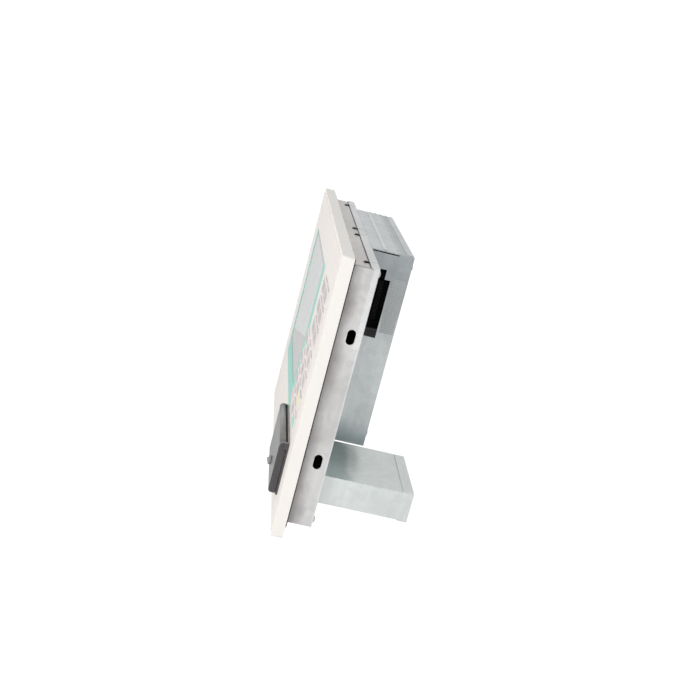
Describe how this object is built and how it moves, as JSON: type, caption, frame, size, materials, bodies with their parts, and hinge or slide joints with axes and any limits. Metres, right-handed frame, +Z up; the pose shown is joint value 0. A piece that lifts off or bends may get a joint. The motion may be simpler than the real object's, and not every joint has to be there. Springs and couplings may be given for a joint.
{
  "type": "panel-mount operator terminal",
  "caption": "Panel-mount operator terminal with display, colour-coded keys, disk drive door, sheet-metal mounting frame, computer housing and drive bay.",
  "frame": {"origin": "centre of the bezel's outline, in the plane of its rear face that seats on the panel", "axes": "-Y towards the operator, +Y into the cabinet, +Z up, +X to the right of the operator who faces the display"},
  "size_m": [0.483, 0.1605, 0.31],
  "materials": {
    "bezel_paint": "satin off-white paint on a cast frame",
    "front_foil": "fine-textured polyester foil",
    "trim_turquoise": "satin coloured trim",
    "display_glass": "smooth glass over a pale display",
    "display_module": "grey display module",
    "zinc_sheet": "galvanised sheet steel",
    "circuit_board": "solder-masked board",
    "gasket_rubber": "soft black rubber",
    "lamp_lens": "translucent lens",
    "key_pink": "moulded pink key",
    "key_grey": "moulded warm-grey key",
    "key_green": "moulded green key",
    "key_yellow": "moulded yellow key",
    "dark_plastic": "moulded dark-grey plastic",
    "bright_steel": "drawn steel",
    "grey_plastic": "moulded grey plastic",
    "drive_metal": "plated drive case with a black front",
    "black_plastic": "black moulded plastic",
    "bare_aluminium": "extruded aluminium",
    "blank_label": "blank metallised label",
    "brass_stud": "plain brass"
  },
  "bodies": {
    "console": {"bezel": "bezel_paint", "front_foil": "front_foil", "screen_trim": "trim_turquoise", "display_glass": "display_glass", "lcd_module": "display_module", "lcd_bracket": "zinc_sheet", "backlight_inverter": "circuit_board", "bezel_gasket": "gasket_rubber", "key_board": "circuit_board", "status_lamps": "lamp_lens", "door_frame": "dark_plastic", "door_pin": "bright_steel", "drive_body": "drive_metal", "front_socket": "bright_steel", "socket_caps": "gasket_rubber", "mounting_frame": "zinc_sheet", "rear_cover": "zinc_sheet", "cover_screws": "bright_steel", "frame_screws": "bright_steel", "computer_housing": "zinc_sheet", "housing_screws": "bright_steel", "main_board": "circuit_board", "heat_sink": "bare_aluminium", "fan_frame": "black_plastic", "power_supply": "zinc_sheet", "hard_disk": "bare_aluminium", "side_tray": "black_plastic", "rating_label": "blank_label", "power_inlet": "black_plastic", "port_panel": "bright_steel", "drive_bay": "zinc_sheet", "bay_lid": "zinc_sheet", "earth_stud": "brass_stud"},
    "door": {"drive_door": "dark_plastic"},
    "knob": {"door_knob": "grey_plastic"},
    "eject_button": {"drive_button": "grey_plastic"},
    "flap": {"drive_flap": "black_plastic"},
    "rotor": {"fan_rotor": "black_plastic"},
    "latch": {"side_latch": "black_plastic"},
    "rocker": {"power_rocker": "black_plastic"},
    "key_cancel": {"key_cancel": "key_pink"},
    "key_n0": {"key_n0": "key_grey"},
    "key_enter": {"key_enter": "key_green"},
    "key_n1": {"key_n1": "key_grey"},
    "key_n2": {"key_n2": "key_grey"},
    "key_clear": {"key_clear": "key_yellow"},
    "key_n3": {"key_n3": "key_grey"},
    "key_n4": {"key_n4": "key_grey"},
    "key_n5": {"key_n5": "key_grey"},
    "key_n6": {"key_n6": "key_grey"},
    "key_n7": {"key_n7": "key_grey"},
    "key_n8": {"key_n8": "key_grey"},
    "key_f1": {"key_f1": "key_grey"},
    "key_f2": {"key_f2": "key_grey"},
    "key_f3": {"key_f3": "key_grey"},
    "key_f4": {"key_f4": "key_grey"},
    "key_f5": {"key_f5": "key_grey"},
    "key_f6": {"key_f6": "key_grey"}
  },
  "joints": [
    {"name": "door_hinge", "type": "hinge", "parent": "console", "child": "door", "pos_m": [0.136, -0.0199, -0.068], "axis": [-1, 0, 0], "range_deg": [0, 100]},
    {"name": "knob_turn", "type": "hinge", "parent": "door", "child": "knob", "pos_m": [0.136, -0.0197, -0.1115], "axis": [0, 1, 0], "range_deg": [0, 90]},
    {"name": "eject_press", "type": "slide", "parent": "console", "child": "eject_button", "axis": [0, 1, 0], "range_m": [0, 0.005], "stiffness_N_per_m": 250, "springref_m": -0.002},
    {"name": "flap_swing", "type": "hinge", "parent": "console", "child": "flap", "pos_m": [0.142, -0.0052, -0.0997], "axis": [1, 0, 0], "range_deg": [0, 80], "stiffness_Nm_per_rad": 0.002, "springref_deg": -17.19},
    {"name": "rotor_spin", "type": "hinge", "parent": "console", "child": "rotor", "pos_m": [-0.082, 0.0549, 0.0383], "axis": [0, 1, 0], "continuous": true},
    {"name": "latch_slide", "type": "slide", "parent": "console", "child": "latch", "axis": [0, 0, 1], "range_m": [0, 0.008]},
    {"name": "rocker_tilt", "type": "hinge", "parent": "console", "child": "rocker", "pos_m": [0.019, 0.0549, -0.0762], "axis": [-1, 0, 0], "range_deg": [0, 12]},
    {"name": "key_cancel_press", "type": "slide", "parent": "console", "child": "key_cancel", "axis": [0, 1, 0], "range_m": [0, 0.0008], "stiffness_N_per_m": 800, "springref_m": -0.0005},
    {"name": "key_n0_press", "type": "slide", "parent": "console", "child": "key_n0", "axis": [0, 1, 0], "range_m": [0, 0.0008], "stiffness_N_per_m": 800, "springref_m": -0.0005},
    {"name": "key_enter_press", "type": "slide", "parent": "console", "child": "key_enter", "axis": [0, 1, 0], "range_m": [0, 0.0008], "stiffness_N_per_m": 800, "springref_m": -0.0005},
    {"name": "key_n1_press", "type": "slide", "parent": "console", "child": "key_n1", "axis": [0, 1, 0], "range_m": [0, 0.0008], "stiffness_N_per_m": 800, "springref_m": -0.0005},
    {"name": "key_n2_press", "type": "slide", "parent": "console", "child": "key_n2", "axis": [0, 1, 0], "range_m": [0, 0.0008], "stiffness_N_per_m": 800, "springref_m": -0.0005},
    {"name": "key_clear_press", "type": "slide", "parent": "console", "child": "key_clear", "axis": [0, 1, 0], "range_m": [0, 0.0008], "stiffness_N_per_m": 800, "springref_m": -0.0005},
    {"name": "key_n3_press", "type": "slide", "parent": "console", "child": "key_n3", "axis": [0, 1, 0], "range_m": [0, 0.0008], "stiffness_N_per_m": 800, "springref_m": -0.0005},
    {"name": "key_n4_press", "type": "slide", "parent": "console", "child": "key_n4", "axis": [0, 1, 0], "range_m": [0, 0.0008], "stiffness_N_per_m": 800, "springref_m": -0.0005},
    {"name": "key_n5_press", "type": "slide", "parent": "console", "child": "key_n5", "axis": [0, 1, 0], "range_m": [0, 0.0008], "stiffness_N_per_m": 800, "springref_m": -0.0005},
    {"name": "key_n6_press", "type": "slide", "parent": "console", "child": "key_n6", "axis": [0, 1, 0], "range_m": [0, 0.0008], "stiffness_N_per_m": 800, "springref_m": -0.0005},
    {"name": "key_n7_press", "type": "slide", "parent": "console", "child": "key_n7", "axis": [0, 1, 0], "range_m": [0, 0.0008], "stiffness_N_per_m": 800, "springref_m": -0.0005},
    {"name": "key_n8_press", "type": "slide", "parent": "console", "child": "key_n8", "axis": [0, 1, 0], "range_m": [0, 0.0008], "stiffness_N_per_m": 800, "springref_m": -0.0005},
    {"name": "key_f1_press", "type": "slide", "parent": "console", "child": "key_f1", "axis": [0, 1, 0], "range_m": [0, 0.0008], "stiffness_N_per_m": 800, "springref_m": -0.0005},
    {"name": "key_f2_press", "type": "slide", "parent": "console", "child": "key_f2", "axis": [0, 1, 0], "range_m": [0, 0.0008], "stiffness_N_per_m": 800, "springref_m": -0.0005},
    {"name": "key_f3_press", "type": "slide", "parent": "console", "child": "key_f3", "axis": [0, 1, 0], "range_m": [0, 0.0008], "stiffness_N_per_m": 800, "springref_m": -0.0005},
    {"name": "key_f4_press", "type": "slide", "parent": "console", "child": "key_f4", "axis": [0, 1, 0], "range_m": [0, 0.0008], "stiffness_N_per_m": 800, "springref_m": -0.0005},
    {"name": "key_f5_press", "type": "slide", "parent": "console", "child": "key_f5", "axis": [0, 1, 0], "range_m": [0, 0.0008], "stiffness_N_per_m": 800, "springref_m": -0.0005},
    {"name": "key_f6_press", "type": "slide", "parent": "console", "child": "key_f6", "axis": [0, 1, 0], "range_m": [0, 0.0008], "stiffness_N_per_m": 800, "springref_m": -0.0005}
  ]
}
